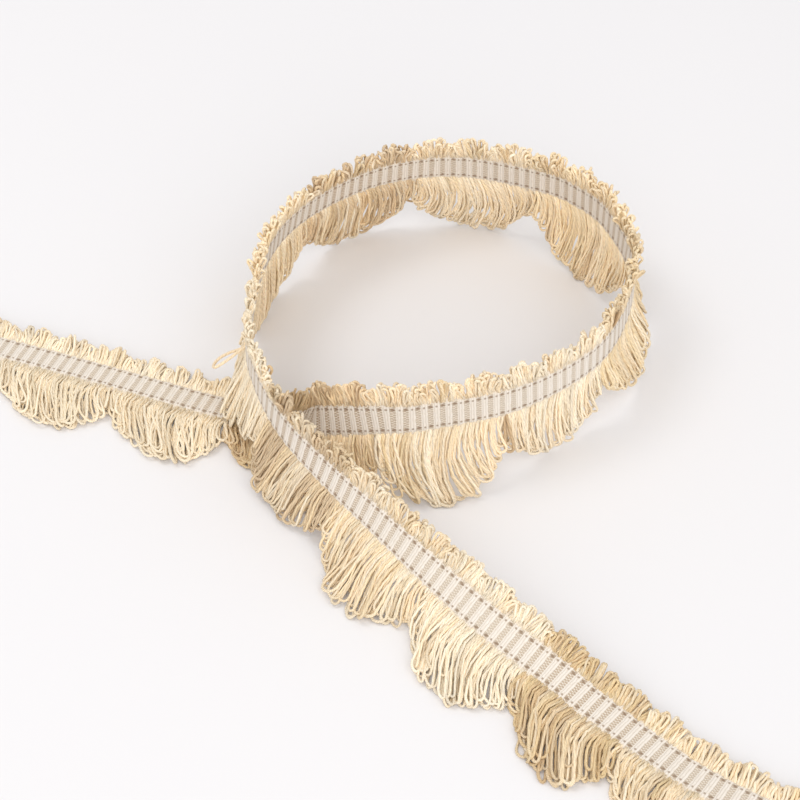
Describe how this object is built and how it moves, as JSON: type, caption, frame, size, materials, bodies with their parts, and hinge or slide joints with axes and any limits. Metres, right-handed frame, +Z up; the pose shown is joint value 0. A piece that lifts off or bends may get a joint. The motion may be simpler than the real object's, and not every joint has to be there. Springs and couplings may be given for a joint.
{
  "type": "fan edge trim",
  "caption": "Length of woven trim with a long looped fan fringe on one edge and a short looped heading on the other, curled once into a standing ring that crosses over itself.",
  "frame": {"origin": "centre of the bounding box, on the surface that the trim lies on", "axes": "+Z up, +Y away from the viewer of the picture, +X to the right, as the trim lies there"},
  "size_m": [0.2588, 0.2676, 0.0382],
  "materials": {
    "woven_band": "rep-woven cotton, white ribs between pale tan columns",
    "cream_yarn": "plied yarn, matt",
    "pale_yarn": "plied yarn, matt",
    "gold_yarn": "plied yarn, matt",
    "tan_yarn": "plied yarn, matt",
    "taupe_yarn": "plied yarn, matt"
  },
  "bodies": {
    "root": {"band": "woven_band", "fan_01": "cream_yarn", "heading_01": "cream_yarn", "fan_02": "cream_yarn", "heading_02": "cream_yarn", "fan_03": "cream_yarn", "heading_03": "cream_yarn", "fan_04": "tan_yarn", "heading_04": "tan_yarn", "fan_05": "tan_yarn", "heading_05": "tan_yarn", "fan_06": "cream_yarn", "heading_06": "cream_yarn", "fan_07": "pale_yarn", "heading_07": "pale_yarn", "fan_08": "gold_yarn", "heading_08": "gold_yarn", "fan_09": "gold_yarn", "heading_09": "gold_yarn", "fan_10": "cream_yarn", "heading_10": "cream_yarn", "fan_11": "taupe_yarn", "heading_11": "taupe_yarn", "fan_12": "gold_yarn", "heading_12": "gold_yarn", "fan_13": "pale_yarn", "heading_13": "pale_yarn", "fan_14": "taupe_yarn", "heading_14": "taupe_yarn", "fan_15": "cream_yarn", "heading_15": "cream_yarn", "fan_16": "pale_yarn", "heading_16": "pale_yarn", "fan_17": "gold_yarn", "heading_17": "gold_yarn", "fan_18": "cream_yarn", "heading_18": "cream_yarn", "fan_19": "cream_yarn", "heading_19": "cream_yarn"}
  },
  "joints": []
}
